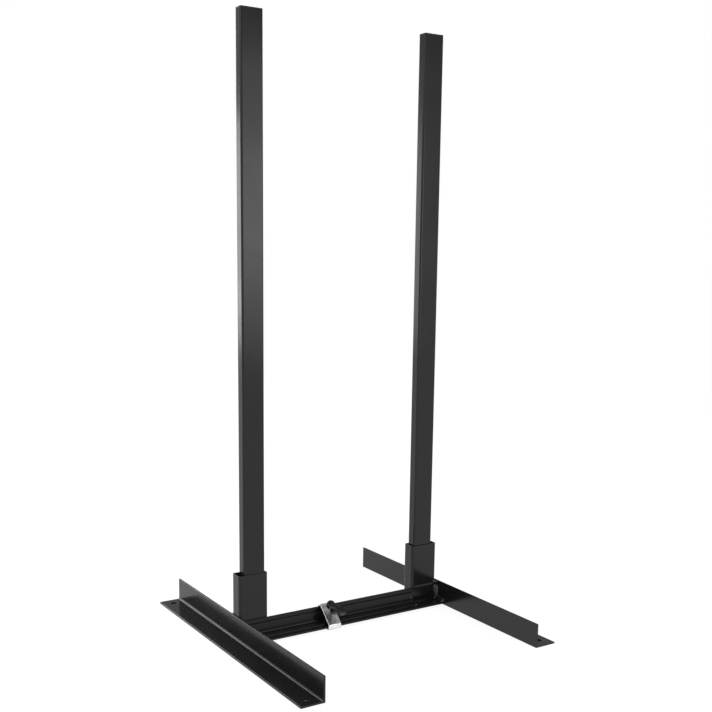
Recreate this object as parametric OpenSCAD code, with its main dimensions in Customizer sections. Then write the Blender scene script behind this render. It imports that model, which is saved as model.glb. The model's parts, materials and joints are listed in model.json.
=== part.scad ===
// Twin-post floor stand of adjustable width. Two angle-iron feet stand side by
// side, each with a sleeve that holds a loose upright. A small angle on the left
// foot slides inside a larger angle on the right foot, and a hooked strap with a
// wing knob clamps the two together.
//
// X runs from the left foot to the right foot, Y along the feet to the back, Z up.
// The origin lies on the floor, midway between the feet and midway along them.

/* [Feet] */
// Length of each foot
foot_len = 500; // [400:10:700]
// Width of both legs of the foot angle
foot_leg = 40; // [38:1:60]
// Thickness of the foot angle
foot_t = 3; // [2.5:0.5:5]
// Clear distance between the two feet, closed up
span = 394; // [340:2:600]
// Diameter of the anchor holes
hole_d = 10; // [6:0.5:14]
// Distance of each anchor hole from the end of its foot
hole_end = 18; // [12:1:60]

/* [Rails] */
// Width of both legs of the outer rail angle
rail_leg = 30; // [27:1:34]
// Width of both legs of the inner rail angle
inner_leg = 20; // [16:0.5:23]
// Thickness of both rail angles
rail_t = 3; // [2.5:0.25:4]
// Distance from the free end of the inner rail to the right foot
inner_stop = 54; // [40:1:90]

/* [Angle edges] */
// Radius of the fillet in the root of each angle
root_r = 3; // [1.5:0.25:4]
// Radius of the rounded inner edge of each leg
toe_r = 1.2; // [0.5:0.1:2]

/* [Sleeves] */
// Width of a sleeve along the rail
sleeve_w = 52; // [46:1:64]
// Depth of a sleeve along the foot
sleeve_d = 25; // [23:0.5:36]
// Wall of a sleeve
sleeve_wall = 2; // [1.5:0.25:3]
// Radius of the outer corners of a sleeve
sleeve_r = 4; // [3.5:0.25:6]
// Height of the sleeve rims above the floor
sleeve_top = 108; // [70:1:180]

/* [Uprights] */
// Width of an upright along the rail
post_w = 38; // [30:1:44]
// Depth of an upright along the foot
post_d = 18; // [14:0.5:20.5]
// Wall of an upright
post_wall = 1.5; // [1:0.1:2.2]
// Radius of the outer corners of an upright
post_r = 3; // [2.5:0.25:5]
// Height of the uprights above the floor, with their plugs
post_h = 974; // [500:2:1500]
// Thickness of the rim of a plug
plug_rim = 2; // [1:0.25:4]
// Length of a plug inside the upright
plug_stem = 16; // [8:1:40]

/* [Welds] */
// Leg of the fillet welds on the feet
weld_r = 6; // [3:0.25:7]

/* [Clamp] */
// Place of the clamp along the rail, from the middle between the feet
clamp_x = -36; // [-60:1:60]
// Width of the clamp strap along the rail
clamp_w = 25; // [20:0.5:40]
// Thickness of the strap
strap_t = 3; // [1.5:0.1:4]
// Length of each hook behind or under the rail
hook_len = 12; // [8:0.5:18]
// Diameter of the clamp screw
screw_d = 8; // [6:0.5:10]
// Travel of the clamp screw from tight to loose
screw_travel = 2; // [1:0.1:4]
// Thickness of the nut on the strap
nut_h = 5; // [4:0.25:8]
// Width of the nut across its flats
nut_af = 13; // [12.5:0.5:17]
// Diameter of the pad on the end of the screw
pad_d = 12; // [9:0.5:14]
// Thickness of the straight rim of the pad
pad_rim = 2.2; // [1:0.1:5]
// Diameter of the pin of the screw that turns in the pad
pin_d = 5; // [3:0.25:5.5]
// Length of that pin
pin_len = 3.4; // [2:0.1:4]

/* [Knob] */
// Length over the two wings of the knob
knob_len = 36; // [28:1:44]
// Thickness of the wings along the screw
knob_h = 10; // [8:0.5:16]
// Diameter of the rounded end of a wing
wing_d = 14; // [11:0.5:16]
// Width of the bar that joins the two wing ends
bar_w = 10; // [8:0.5:10.5]
// How much lower than the wing ends that bar is, above and below
bar_in = 1.2; // [0.5:0.1:2]
// Angle of the tight wings from the rail
knob_angle = 138; // [0:1:179]
// Radius of the rounded rims of the wing ends
rim_r = 3; // [1:0.25:3.5]
// Diameter of the hub under the wings
hub_d = 16.5; // [13:0.5:22]
// Length of the hub under the wings
hub_len = 4; // [2:0.5:16]
// Free length of the screw between strap and hub
knob_gap = 14; // [1:0.5:20]
// Depth of the screw in the wings
screw_bed = 7; // [2:0.5:7.5]

/* [Fits] */
// Clearance between the two rails, and between a rail and the clamp or a sleeve
slide_gap = 0.1; // [0.05:0.05:0.3]
// How much rounder the heel of the inner rail is than the root that it lies in
heel_gap = 0.5; // [0.3:0.1:2]
// Gap between the closed outer rail and the left foot
end_gap = 0.5; // [0.3:0.1:5]
// Clearance between the strap and the floor
floor_gap = 0.2; // [0.1:0.1:3]
// Clearance between the strap and the edges of the outer rail
toe_gap = 1.2; // [0.3:0.1:3]
// Clearance between an upright and the front wall of its sleeve
post_gap = 0.05; // [0.05:0.05:0.5]
// Gap between an upright and the wall of its sleeve that faces the other upright
side_gap = 2.4; // [0.3:0.1:8]
// Clearance around a plug inside the upright
plug_gap = 0.05; // [0.02:0.01:0.1]
// Clearance around the screw in the strap, the nut, the pad and the knob
screw_gap = 0.05; // [0.02:0.01:0.1]
// Clearance of the tight pad from the inner rail, along the screw
pad_gap = 0.2; // [0.15:0.05:0.6]
// Clearance of the loose pad from the nut
loose_gap = 0.55; // [0.2:0.05:3]

/* [Hidden] */
$fn = 48;

black_paint = "#1d1d1f";
black_plastic = "#161617";
zinc_plate = "#c7cacf";

// Small overlap that keeps cuts and joins clean
bite = 0.5;
// Smallest radius of an inner corner
fine_r = 0.2;

// Planes that the pieces share
foot_face = span / 2;
rail_back = rail_leg / 2;
rail_lift = floor_gap + strap_t + slide_gap;
rail_top = rail_lift + rail_leg;
hole_x = foot_face + (foot_t + foot_leg) / 2;
hole_y = foot_len / 2 - hole_end;
sleeve_mid = foot_face - sleeve_w / 2;
post_mid = foot_face - sleeve_w + sleeve_wall + side_gap + post_w / 2;
post_front = rail_back + sleeve_wall + post_gap;
inner_base = rail_t + slide_gap;

// Places along the screw, counted from the heel of the outer rail. The screw lies
// on the line that halves the corner of the rails. The strap clears both the edges
// of the outer rail and the stack of pad, travel and nut below it.
corner_dist = (inner_base + rail_t) * sqrt(2);
pad_base = corner_dist + pad_gap;
pad_r = pad_d / 2;
pad_tip_r = root_r / sqrt(2) + pad_gap;
pad_rear = pad_base + pad_r + pad_rim;
stack_end = pad_rear + screw_travel + loose_gap + nut_h;
edge_end = (rail_leg + rail_t) / sqrt(2) + toe_gap;
strap_face = max(stack_end, edge_end) + strap_t;
nut_base = strap_face - strap_t - nut_h;
hub_base = strap_face + knob_gap;
wing_base = hub_base + hub_len;
screw_end = wing_base + screw_bed;

// Corners of the strap, counted from the heel of the outer rail
hook_out = rail_leg + slide_gap + strap_t;
hook_back = slide_gap + strap_t;
hook_end = hook_out - hook_len;
hook_rise = strap_face * sqrt(2) - hook_out;

// Radius of the inner corner of a bent wall
function inner_r(r, wall) = max(r - wall, fine_r);

// Corner of a square outside its inscribed arc, with an overlap behind it
module corner(r) {
    difference() {
        translate([-bite, -bite]) square(r + bite);
        translate([r, r]) circle(r);
    }
}

// Section of a rolled angle with its heel at the origin
module angle_section(leg, t, heel = 0) {
    difference() {
        union() {
            square([leg, t]);
            square([t, leg]);
            translate([t, t]) corner(root_r);
        }
        translate([leg, t]) rotate(180) corner(toe_r);
        translate([t, leg]) rotate(180) corner(toe_r);
        if (heel > 0) corner(heel);
    }
}

// Rectangle with round corners, centred across and starting at y = 0
module round_rect(w, d, r) {
    difference() {
        translate([-w / 2, 0]) square([w, d]);
        translate([-w / 2, 0]) corner(r);
        translate([w / 2, 0]) rotate(90) corner(r);
        translate([w / 2, d]) rotate(180) corner(r);
        translate([-w / 2, d]) rotate(270) corner(r);
    }
}

// Rectangular tube with an even wall
module tube(w, d, wall, r, h) {
    linear_extrude(h)
        difference() {
            round_rect(w, d, r);
            translate([0, wall])
                round_rect(w - 2 * wall, d - 2 * wall, inner_r(r, wall));
        }
}

// Extrudes a section along the rail: its x runs to the front, its y runs up
module along_rail(x_right, len, inset = 0) {
    translate([x_right, rail_back - inset, rail_lift + inset])
        rotate([90, 0, -90])
            linear_extrude(len)
                children();
}

// Moves to a distance from the heel of the outer rail along the screw axis
module on_screw(dist) {
    translate([clamp_x, rail_back, rail_lift])
        rotate([45, 0, 0])
            translate([0, 0, dist])
                children();
}

// Quarter-round bead with its flat sides on the planes x = 0 and y = 0
module bead(len, r = weld_r) {
    intersection() {
        cylinder(h = len, r = r);
        cube([r, r, len]);
    }
}

// Foot on the right: an angle with its back to the rail and two anchor holes
module foot() {
    difference() {
        translate([foot_face, foot_len / 2, 0])
            rotate([90, 0, 0])
                linear_extrude(foot_len)
                    angle_section(foot_leg, foot_t);
        for (end = [-1, 1])
            translate([hole_x, end * hole_y, -bite])
                cylinder(h = foot_t + 2 * bite, d = hole_d);
    }
}

// Sleeve on the right, open at both ends
module sleeve() {
    translate([sleeve_mid, rail_back, rail_lift])
        tube(sleeve_w, sleeve_d, sleeve_wall, sleeve_r, sleeve_top - rail_lift);
}

// Welds that join the right sleeve to its foot, in front and at the back
module sleeve_seams() {
    difference() {
        union() {
            translate([foot_face, rail_back, rail_top + slide_gap])
                cylinder(h = foot_leg - rail_top - slide_gap, r = weld_r);
            translate([foot_face, rail_back + sleeve_d, rail_lift])
                cylinder(h = foot_leg - rail_lift, r = weld_r);
        }
        translate([foot_face, rail_back - weld_r - bite, 0])
            cube([weld_r + bite, sleeve_d + 2 * weld_r + 2 * bite, foot_leg + bite]);
        translate([sleeve_mid, rail_back, 0])
            linear_extrude(foot_leg + bite)
                round_rect(sleeve_w, sleeve_d, sleeve_r);
    }
}

// Weld in the corner of the right sleeve and the back of the outer rail, without the
// thin end that would reach under the round corner of the sleeve
module corner_seam() {
    corner_x = sleeve_mid - sleeve_w / 2;
    seam_h = rail_leg + rail_t;
    difference() {
        intersection() {
            translate([corner_x, rail_back, rail_lift])
                cylinder(h = seam_h, r = weld_r);
            translate([corner_x - weld_r, rail_back, rail_lift])
                cube([weld_r + sleeve_r / 2, weld_r, seam_h]);
        }
        translate([sleeve_mid, rail_back, rail_lift - bite])
            linear_extrude(seam_h + 2 * bite)
                round_rect(sleeve_w, sleeve_d, sleeve_r);
    }
}

// Welds on the end of a rail that meets the right foot, for a rail of given leg
module rail_seams(leg, inset) {
    run = leg - rail_t - root_r - toe_r;
    front = rail_back - inset - rail_t;
    floor = rail_lift + inset + rail_t;
    translate([foot_face, front, floor + root_r])
        rotate(180) bead(run);
    translate([foot_face, front - root_r, floor])
        rotate([90, 0, 0])
            mirror([1, 0, 0]) bead(run);
}

// Upright on the right, between its two plugs
module post() {
    translate([post_mid, post_front, plug_rim])
        tube(post_w, post_d, post_wall, post_r, post_h - 2 * plug_rim);
}

// Plug in the lower end of the right upright
module plug() {
    inset = post_wall + plug_gap;
    translate([post_mid, post_front, 0]) {
        linear_extrude(plug_rim)
            round_rect(post_w, post_d, post_r);
        translate([0, inset, 0])
            linear_extrude(plug_rim + plug_stem)
                round_rect(post_w - 2 * inset, post_d - 2 * inset, inner_r(post_r, inset));
    }
}

// The same plug, turned over into the upper end
module top_plug() {
    translate([0, 0, post_h]) mirror([0, 0, 1]) plug();
}

// Mirrors a right-hand piece to the left, behind the sliding rail
module on_left(behind = 0) {
    translate([0, behind, 0]) mirror([1, 0, 0]) children();
}

module left_foot() {
    color(black_paint) on_left() foot();
}

module right_foot() {
    color(black_paint) foot();
}

module left_sleeve() {
    color(black_paint) on_left(slide_gap) sleeve();
}

module right_sleeve() {
    color(black_paint) sleeve();
}

// Small angle on the left foot, with a round heel that clears the outer root
module inner_rail() {
    color(black_paint)
        along_rail(foot_face - inner_stop, span - inner_stop, inner_base)
            angle_section(inner_leg, rail_t, root_r + heel_gap);
}

// Large angle on the right foot, which ends just short of the left foot
module outer_rail() {
    color(black_paint)
        along_rail(foot_face, span - end_gap)
            angle_section(rail_leg, rail_t);
}

module left_sleeve_weld() {
    color(black_paint) on_left(slide_gap) sleeve_seams();
}

// The right sleeve also has a seam along the top edge of the outer rail, and one
// in the corner behind it
module right_sleeve_weld() {
    color(black_paint) {
        sleeve_seams();
        corner_seam();
        translate([sleeve_mid - sleeve_w / 2 + sleeve_r, rail_back, rail_top])
            rotate([90, 0, 90])
                mirror([1, 0, 0]) bead(sleeve_w - sleeve_r, rail_t - toe_r);
    }
}

module left_rail_weld() {
    color(black_paint) on_left() rail_seams(inner_leg, inner_base);
}

module right_rail_weld() {
    color(black_paint) rail_seams(rail_leg, 0);
}

module left_post() {
    color(black_paint) on_left(slide_gap) post();
}

module right_post() {
    color(black_paint) post();
}

module left_top_plug() {
    color(black_plastic) on_left(slide_gap) top_plug();
}

module right_top_plug() {
    color(black_plastic) top_plug();
}

module left_bottom_plug() {
    color(black_plastic) on_left(slide_gap) plug();
}

module right_bottom_plug() {
    color(black_plastic) plug();
}

// Plated strap that hooks over the top edge and under the front edge of the rail
module clamp_strap() {
    fold_in = hook_rise - strap_t * (sqrt(2) - 1);
    edge_in = hook_out - strap_t;
    color(zinc_plate)
        difference() {
            along_rail(clamp_x + clamp_w / 2, clamp_w)
                polygon([
                    [-hook_back, hook_end],
                    [-hook_back, hook_out],
                    [hook_rise, hook_out],
                    [hook_out, hook_rise],
                    [hook_out, -hook_back],
                    [hook_end, -hook_back],
                    [hook_end, -slide_gap],
                    [edge_in, -slide_gap],
                    [edge_in, fold_in],
                    [fold_in, edge_in],
                    [-slide_gap, edge_in],
                    [-slide_gap, hook_end]
                ]);
            on_screw(strap_face - strap_t - bite)
                cylinder(h = strap_t + 2 * bite, d = screw_d + 2 * screw_gap);
        }
}

// Hexagon nut welded inside the strap
module clamp_nut() {
    color(zinc_plate)
        on_screw(nut_base)
            difference() {
                cylinder(h = nut_h, d = nut_af / cos(30), $fn = 6);
                translate([0, 0, -bite])
                    cylinder(h = nut_h + 2 * bite, d = screw_d + 2 * screw_gap);
            }
}

// Cone on the end of the screw, which presses into the corner of the inner rail
module clamp_pad() {
    rear = pad_r + pad_rim;
    bore_r = pin_d / 2 + screw_gap;
    bore_end = rear - pin_len - screw_gap;
    color(zinc_plate)
        on_screw(pad_base)
            rotate_extrude()
                polygon([
                    [0, pad_tip_r],
                    [pad_tip_r, pad_tip_r],
                    [pad_r, pad_r],
                    [pad_r, rear],
                    [bore_r, rear],
                    [bore_r, bore_end],
                    [0, bore_end]
                ]);
}

// Screw with a thin pin that turns in the pad
module knob_screw() {
    color(zinc_plate) {
        on_screw(pad_rear - pin_len)
            cylinder(h = pin_len + bite, d = pin_d);
        on_screw(pad_rear)
            cylinder(h = screw_end - pad_rear, d = screw_d);
    }
}

// Rounded end of a wing of the knob
module wing_end() {
    rotate_extrude()
        difference() {
            square([wing_d / 2, knob_h]);
            translate([wing_d / 2, 0]) rotate(90) corner(rim_r);
            translate([wing_d / 2, knob_h]) rotate(180) corner(rim_r);
        }
}

// Moulded wing knob on a short hub that rises to the middle of the wings
module knob_head() {
    wing_at = (knob_len - wing_d) / 2;
    color(black_plastic)
        difference() {
            union() {
                on_screw(hub_base)
                    cylinder(h = hub_len + knob_h / 2, d = hub_d);
                on_screw(wing_base)
                    rotate(knob_angle) {
                        for (x = [-wing_at, wing_at])
                            translate([x, 0, 0]) wing_end();
                        translate([-wing_at, -bar_w / 2, bar_in])
                            cube([2 * wing_at, bar_w, knob_h - 2 * bar_in]);
                    }
            }
            on_screw(hub_base - bite)
                cylinder(h = screw_end - hub_base + bite, d = screw_d + 2 * screw_gap);
        }
}

left_foot();
right_foot();
left_sleeve();
right_sleeve();
inner_rail();
outer_rail();
left_sleeve_weld();
right_sleeve_weld();
left_rail_weld();
right_rail_weld();
left_post();
right_post();
left_top_plug();
right_top_plug();
left_bottom_plug();
right_bottom_plug();
clamp_strap();
clamp_nut();
clamp_pad();
knob_screw();
knob_head();
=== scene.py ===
# %% [markdown]
# # A black steel floor stand
# This lesson dresses a width-adjustable floor stand: angle-iron feet, nested angle rails,
# two loose uprights in welded sleeves, and a plated strap clamp with a wing knob.
# The solids come from a fixed frame that is never moved or reshaped. Everything here adds
# the finish on top of it: rounded edges, rippled welds, a cut thread, a moulded knob,
# paint, plating, light and camera.

# %% Load the frame
import json
import math

import bmesh
import bpy
from mathutils import Matrix, Vector


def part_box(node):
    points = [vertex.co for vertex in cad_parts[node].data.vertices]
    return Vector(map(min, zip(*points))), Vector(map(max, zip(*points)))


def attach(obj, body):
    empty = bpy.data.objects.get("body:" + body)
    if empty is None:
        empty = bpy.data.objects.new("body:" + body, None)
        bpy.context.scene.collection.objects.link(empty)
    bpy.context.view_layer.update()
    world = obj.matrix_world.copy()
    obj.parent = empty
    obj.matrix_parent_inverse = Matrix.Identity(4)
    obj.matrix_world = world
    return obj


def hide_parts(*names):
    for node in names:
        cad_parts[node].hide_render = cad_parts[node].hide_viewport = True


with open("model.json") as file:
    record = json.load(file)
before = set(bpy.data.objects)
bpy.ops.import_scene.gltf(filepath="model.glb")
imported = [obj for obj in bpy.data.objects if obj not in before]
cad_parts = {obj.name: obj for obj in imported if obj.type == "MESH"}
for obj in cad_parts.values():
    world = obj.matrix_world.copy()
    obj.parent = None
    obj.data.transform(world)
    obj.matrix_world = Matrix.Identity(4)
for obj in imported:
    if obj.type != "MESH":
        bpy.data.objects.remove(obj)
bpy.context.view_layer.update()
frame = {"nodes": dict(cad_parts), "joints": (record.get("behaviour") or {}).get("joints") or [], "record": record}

MM = 0.001

# %% [markdown]
# ## The camera
# The photograph was taken from the left front, a little above half the height of the uprights.
# A camera could be turned by eye until the render looks right, but a frame with long straight
# bars allows better: its edges were lined up with the photograph, which gives the place, the
# three angles and the focal length. The picture is a cut-out, so the optical axis doesn't go
# through its middle, and a small lens shift stands for that.

# %% Place the camera
PHOTO_SIDE = 712
FOCAL_PX = 1022.75
AXIS_PX = (329.85, 429.33)
SENSOR_WIDTH = 36.0
CAMERA_PLACE = (-0.9019, -1.3917, 0.6176)
CAMERA_YAW = 31.816
CAMERA_PITCH = 9.743
CAMERA_ROLL = 0.463


def turn(degrees, axis):
    return Matrix.Rotation(math.radians(degrees), 4, axis)


lens = bpy.data.cameras.new("photo_camera")
lens.sensor_width = SENSOR_WIDTH
lens.lens = FOCAL_PX * SENSOR_WIDTH / PHOTO_SIDE
lens.shift_x = 0.5 - AXIS_PX[0] / PHOTO_SIDE
lens.shift_y = AXIS_PX[1] / PHOTO_SIDE - 0.5
camera = bpy.data.objects.new("photo_camera", lens)
bpy.context.scene.collection.objects.link(camera)
look = turn(-CAMERA_YAW, "Z") @ turn(90 - CAMERA_PITCH, "X") @ turn(CAMERA_ROLL, "Z")
camera.matrix_world = Matrix.Translation(CAMERA_PLACE) @ look
bpy.context.scene.camera = camera
bpy.context.scene.view_settings.view_transform = "Standard"
print("camera: focal length %.1f mm, shift %.3f, %.3f" % (lens.lens, lens.shift_x, lens.shift_y))

# %% [markdown]
# ## Helpers for node trees
# Every finish below is a tree of shader nodes. They could be clicked together in the editor,
# but a script can be read and repeated. Adding a node, setting it up and wiring it takes three
# lines each time, so one helper does all of it: a value may be a plain number or the output of
# another node. The Mix node has sockets for every kind of value, so those for colours are named.

# %% Node helpers
MIX_FACTOR, MIX_FIRST, MIX_SECOND, MIX_RESULT = 0, 6, 7, 2


def feed(tree, socket, value):
    if isinstance(value, bpy.types.NodeSocket):
        tree.links.new(value, socket)
    else:
        socket.default_value = value


def put(tree, kind, values=None, **settings):
    made = tree.nodes.new(kind)
    for key, value in settings.items():
        setattr(made, key, value)
    for label, value in (values or {}).items():
        feed(tree, made.inputs[label], value)
    return made


def math_node(tree, operation, first, second=0.0, clamp=False):
    made = put(tree, "ShaderNodeMath", {0: first, 1: second}, operation=operation, use_clamp=clamp)
    return made.outputs[0]


def remap(tree, value, low, high, to_low=0.0, to_high=1.0):
    ends = {"Value": value, "From Min": low, "From Max": high, "To Min": to_low, "To Max": to_high}
    return put(tree, "ShaderNodeMapRange", ends).outputs["Result"]


def blend(tree, factor, first, second):
    values = {MIX_FACTOR: factor, MIX_FIRST: first, MIX_SECOND: second}
    return put(tree, "ShaderNodeMix", values, data_type="RGBA").outputs[MIX_RESULT]


def noise(tree, scale, detail=2.0, roughness=0.5):
    spot = put(tree, "ShaderNodeTexCoord").outputs["Object"]
    values = {"Vector": spot, "Scale": scale, "Detail": detail, "Roughness": roughness}
    return put(tree, "ShaderNodeTexNoise", values).outputs["Fac"]


print("node helpers ready")

# %% [markdown]
# ## Helpers for shared effects
# Several finishes share an effect, such as rubbed edges. Copying its nodes into each of them
# would work, but a node group is built once, has named inputs and outputs, and takes other
# values in each finish. One helper opens a group, and another places it in a tree.

# %% Group helpers
def new_group(name, inputs, outputs):
    tree = bpy.data.node_groups.new(name, "ShaderNodeTree")
    for label, value in inputs.items():
        socket = tree.interface.new_socket(label, in_out="INPUT", socket_type="NodeSocketFloat")
        socket.default_value = value
    for label in outputs:
        tree.interface.new_socket(label, in_out="OUTPUT", socket_type="NodeSocketFloat")
    return tree, tree.nodes.new("NodeGroupInput").outputs, tree.nodes.new("NodeGroupOutput").inputs


def place(tree, group, **values):
    named = {label.replace("_", " ").capitalize(): value for label, value in values.items()}
    return put(tree, "ShaderNodeGroup", named, node_tree=group).outputs


print("group helpers ready")

# %% [markdown]
# ## Shared effect: orange peel
# Sprayed paint never dries dead flat. Its surface has a fine, shallow dimpling and a longer
# wave under it, and both make reflections shiver a little. A photograph of paint could be
# tiled, but noise needs no seams and fits a bar of any length, so the group adds two noises.

# %% Orange peel group
peel_group, take, give = new_group(
    "orange_peel", {"Dimple scale": 420.0, "Wave scale": 60.0, "Wave share": 0.6}, ["Height"])
dimples = noise(peel_group, take["Dimple scale"], detail=1.0)
waves = noise(peel_group, take["Wave scale"], detail=0.5)
swell = math_node(peel_group, "MULTIPLY", waves, take["Wave share"])
peel_group.links.new(math_node(peel_group, "ADD", dimples, swell), give["Height"])
print("group:", peel_group.name)

# %% [markdown]
# ## Shared effect: rubbed edges
# Where a stand is carried and stacked, paint and plating first thin out along the edges. The
# edges could be marked by hand, but the Bevel node finds them: it gives the normal that a
# rounded edge would have, and where it differs from the true normal there is an edge. Noise
# breaks the line up, because wear is never even.

# %% Rubbed edge group
EDGE_BEGINS, EDGE_FULL = 0.995, 0.90
BREAKUP_FROM, BREAKUP_TO = -0.08, 0.14

rub_group, take, give = new_group(
    "rubbed_edges", {"Reach": 0.0012, "Breakup scale": 130.0, "Cover": 0.5}, ["Mask"])
soft = put(rub_group, "ShaderNodeBevel", {"Radius": take["Reach"]}, samples=4).outputs["Normal"]
hard = put(rub_group, "ShaderNodeNewGeometry").outputs["Normal"]
agree = put(rub_group, "ShaderNodeVectorMath", {0: soft, 1: hard}, operation="DOT_PRODUCT")
edge = remap(rub_group, agree.outputs["Value"], EDGE_BEGINS, EDGE_FULL)
patches = noise(rub_group, take["Breakup scale"], detail=3.0, roughness=0.65)
gate = math_node(rub_group, "SUBTRACT", 1.0, take["Cover"])
over_gate = math_node(rub_group, "SUBTRACT", patches, gate)
kept = remap(rub_group, over_gate, BREAKUP_FROM, BREAKUP_TO)
rub_group.links.new(math_node(rub_group, "MULTIPLY", edge, kept, clamp=True), give["Mask"])
print("group:", rub_group.name)

# %% [markdown]
# ## Shared effect: handling marks
# Hands and cloths leave broad, dull smears that only show in the gloss. They could be painted
# on, bar by bar, but nobody looks for one smear, so noise lays them over every bar at once:
# broad patches with a share of fine streaks. The mask goes to roughness.

# %% Handling mark group
SMEAR_SHARE, STREAK_SHARE = 0.75, 0.25
SMEAR_FROM, SMEAR_TO = 0.38, 0.66

smear_group, take, give = new_group(
    "handling_marks", {"Smear scale": 14.0, "Streak scale": 260.0}, ["Mask"])
smears = noise(smear_group, take["Smear scale"], detail=4.0, roughness=0.6)
streaks = noise(smear_group, take["Streak scale"], detail=2.0)
broad = math_node(smear_group, "MULTIPLY", smears, SMEAR_SHARE)
fine = math_node(smear_group, "MULTIPLY", streaks, STREAK_SHARE)
mixed = math_node(smear_group, "ADD", broad, fine)
smear_group.links.new(remap(smear_group, mixed, SMEAR_FROM, SMEAR_TO), give["Mask"])
print("group:", smear_group.name)

# %% [markdown]
# ## Shared effect: settled dust
# Dust settles on what faces up. Particles would be costly and hardly show, so the mask starts
# from the upward part of the normal and is then broken into drifts and specks.

# %% Dust group
UPWARD_FROM, UPWARD_TO = 0.35, 1.0
DRIFT_FROM, DRIFT_TO = 0.35, 0.7
SPECK_FROM, SPECK_TO = 0.6, 0.78
DRIFT_SHARE = 0.5

dust_group, take, give = new_group(
    "settled_dust", {"Drift scale": 22.0, "Speck scale": 900.0}, ["Mask"])
normal = put(dust_group, "ShaderNodeNewGeometry").outputs["Normal"]
facing = put(dust_group, "ShaderNodeSeparateXYZ", {0: normal}).outputs["Z"]
upward = remap(dust_group, facing, UPWARD_FROM, UPWARD_TO)
drifts = remap(dust_group, noise(dust_group, take["Drift scale"], detail=3.0), DRIFT_FROM, DRIFT_TO)
specks = remap(dust_group, noise(dust_group, take["Speck scale"], detail=1.0), SPECK_FROM, SPECK_TO)
cover = math_node(dust_group, "ADD", math_node(dust_group, "MULTIPLY", drifts, DRIFT_SHARE), specks)
dust_group.links.new(math_node(dust_group, "MULTIPLY", upward, cover, clamp=True), give["Mask"])
print("group:", dust_group.name)

# %% [markdown]
# ## Shared effect: zinc spangle
# Plated steel is not one grey. The zinc freezes in small crystals that each tilt another way,
# and the bright dip leaves cloudy patches. A picture of plated sheet would stretch over the
# folds, so a Voronoi texture gives the crystals their own shade, and noise gives the clouds.

# %% Zinc spangle group
CRYSTAL_SHARE, CLOUD_SHARE = 0.3, 0.7
CLOUD_FROM, CLOUD_TO = 0.28, 0.60
DULL_FROM, DULL_TO = 0.35, 0.75

spangle_group, take, give = new_group(
    "zinc_spangle", {"Crystal scale": 420.0, "Cloud scale": 120.0}, ["Shade", "Dullness"])
spot = put(spangle_group, "ShaderNodeTexCoord").outputs["Object"]
crystals = put(spangle_group, "ShaderNodeTexVoronoi", {"Vector": spot, "Scale": take["Crystal scale"]})
tilt = put(spangle_group, "ShaderNodeSeparateColor", {0: crystals.outputs["Color"]}).outputs[0]
clouds = noise(spangle_group, take["Cloud scale"], detail=4.0, roughness=0.6)
cloudy = remap(spangle_group, clouds, CLOUD_FROM, CLOUD_TO)
shade = math_node(spangle_group, "ADD", math_node(spangle_group, "MULTIPLY", tilt, CRYSTAL_SHARE),
                  math_node(spangle_group, "MULTIPLY", cloudy, CLOUD_SHARE))
spangle_group.links.new(shade, give["Shade"])
spangle_group.links.new(remap(spangle_group, clouds, DULL_FROM, DULL_TO), give["Dullness"])
print("group:", spangle_group.name)

# %% [markdown]
# ## Shared effect: scuffed rail ends, partly painted highlight
# The two rails slide on each other, and their sawn ends scrape the paint off in flecks. The same
# pale flecks also stand in for highlights at the rail ends, so they are partly wear and partly
# painted highlight. Vertex colours could mark the ends, but the frame already says where they
# are: the mask grows over the last few millimetres before an end, which is a place along X, and
# noise leaves only flecks of it.

# %% Scuffed end group, partly painted highlight
FLECK_EDGE = 0.06

scuff_and_glint_group, take, give = new_group(
    "scuffed_end_and_glints", {"Start": 0.0, "End": 1.0, "Fleck scale": 180.0, "Cover": 0.5}, ["Mask"])
spot = put(scuff_and_glint_group, "ShaderNodeTexCoord").outputs["Object"]
along = put(scuff_and_glint_group, "ShaderNodeSeparateXYZ", {0: spot}).outputs["X"]
near_end = remap(scuff_and_glint_group, along, take["Start"], take["End"])
flecks = noise(scuff_and_glint_group, take["Fleck scale"], detail=3.0, roughness=0.6)
covered = math_node(scuff_and_glint_group, "MULTIPLY", near_end, take["Cover"])
gate = math_node(scuff_and_glint_group, "SUBTRACT", 1.0, covered)
over_gate = math_node(scuff_and_glint_group, "SUBTRACT", flecks, gate)
scuff_and_glint_group.links.new(remap(scuff_and_glint_group, over_gate, 0.0, FLECK_EDGE), give["Mask"])
print("group:", scuff_and_glint_group.name)

# %% [markdown]
# ## Finish: semi-gloss black paint
# All the steel is sprayed black and half glossy: dark in itself, and read almost wholly by what
# it mirrors. So the base colour is close to black and the work goes into the gloss: a low
# roughness that smears raise in patches, a shallow orange peel, a touch of dust on what faces
# up and a slightly greyer line on rubbed edges. One function makes it, so that a bar differs
# from another only in its values.

# %% Black paint
PAINT_BLACK = (0.0110, 0.0110, 0.0116, 1.0)
PAINT_RUBBED = (0.055, 0.055, 0.058, 1.0)
# Pale flecks at the rail ends: scuffed paint, partly painted highlight.
PAINT_SCUFFED_AND_GLINT = (0.115, 0.112, 0.108, 1.0)
DUST_GREY = (0.30, 0.29, 0.27, 1.0)
DUST_SHOWN = 0.010
RUB_SHOWN = 0.5
RUB_REACH = 1.0 * MM
SCUFF_DULLS = 0.2


def new_finish(name):
    finish = bpy.data.materials.new(name)
    finish.use_nodes = True
    tree = finish.node_tree
    return finish, tree, tree.nodes["Principled BSDF"]


def wire(tree, shader, **sockets):
    for label, value in sockets.items():
        feed(tree, shader.inputs[label.replace("_", " ")], value)


def bumped(tree, height, depth):
    values = {"Strength": 1.0, "Distance": depth, "Height": height}
    return put(tree, "ShaderNodeBump", values).outputs["Normal"]


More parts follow.
